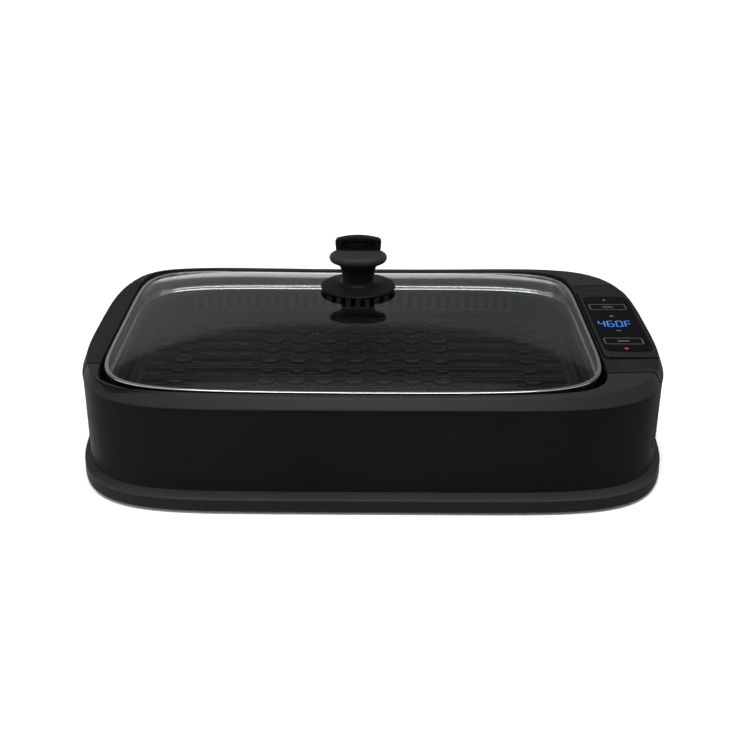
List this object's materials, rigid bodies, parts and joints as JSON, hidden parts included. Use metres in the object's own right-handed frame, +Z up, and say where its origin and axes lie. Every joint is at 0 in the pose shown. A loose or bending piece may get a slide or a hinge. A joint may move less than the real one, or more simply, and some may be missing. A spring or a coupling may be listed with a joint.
{
  "type": "electric indoor grill with lift-off lid",
  "caption": "Low black countertop grill with a lift-off domed glass lid, removable ridged plate, drip tray, smoke blower and touch control panel.",
  "frame": {"origin": "on the table, under the middle of the housing", "axes": "+Z up, the front faces -Y, the control panel is at +X"},
  "size_m": [0.5506, 0.376, 0.1825],
  "materials": {
    "housing_black": "satin black moulding, fine texture",
    "deck_black": "black moulding with fine ribs",
    "panel_gloss": "gloss black touch panel",
    "display": "dark window with blue digits",
    "circuit_board": "solder-resist green",
    "inlet_black": "black moulding",
    "well_black": "satin black enamel",
    "ceramic": "unglazed off-white ceramic",
    "duct_black": "black moulding",
    "motor_steel": "plated steel can",
    "fastener_steel": "zinc-plated steel",
    "tray_metal": "pressed sheet, satin",
    "nonstick": "cast plate with dark nonstick coating",
    "element_sheath": "dark heat-tinted sheath",
    "pin_brass": "plated pins",
    "rim_steel": "polished steel band",
    "lid_glass": "clear tempered glass",
    "seal_silicone": "silicone",
    "knob_black": "satin black moulding",
    "foot_rubber": "moulded rubber"
  },
  "bodies": {
    "base": {"base_tray": "housing_black", "rubber_feet": "foot_rubber", "base_screws": "fastener_steel", "body_shell": "housing_black", "left_deck": "deck_black", "right_deck": "deck_black", "panel_surround": "deck_black", "control_panel": "panel_gloss", "display_module": "display", "touch_board": "circuit_board", "power_board": "circuit_board", "power_inlet": "inlet_black", "exhaust_grille": "housing_black", "well_liner": "well_black", "vent_grille": "well_black", "socket_block": "ceramic", "plate_sensor": "fastener_steel", "fan_housing": "duct_black", "fan_cover": "duct_black", "fan_motor": "motor_steel"},
    "blower": {"fan_shaft": "fastener_steel", "fan_wheel": "duct_black"},
    "tray": {"drip_tray": "tray_metal"},
    "plate": {"grill_plate": "nonstick", "heating_element": "element_sheath", "element_clips": "fastener_steel", "terminal_block": "ceramic", "terminal_pins": "pin_brass"},
    "lid": {"lid_rim": "rim_steel", "lid_glass": "lid_glass", "knob_washer": "seal_silicone", "knob_base": "knob_black", "knob_grip": "knob_black", "knob_screw": "fastener_steel", "screw_washer": "seal_silicone"}
  },
  "joints": [
    {"name": "blower_spin", "type": "hinge", "parent": "base", "child": "blower", "pos_m": [-0.03, 0.06, 0.014], "axis": [0, 0, 1], "continuous": true},
    {"name": "tray_lift", "type": "slide", "parent": "base", "child": "tray", "axis": [0, 0, 1], "range_m": [0, 0.12]},
    {"name": "plate_lift", "type": "slide", "parent": "tray", "child": "plate", "axis": [0, 0, 1], "range_m": [0, 0.12]},
    {"name": "lid_lift", "type": "slide", "parent": "plate", "child": "lid", "axis": [0, 0, 1], "range_m": [0, 0.15]}
  ]
}
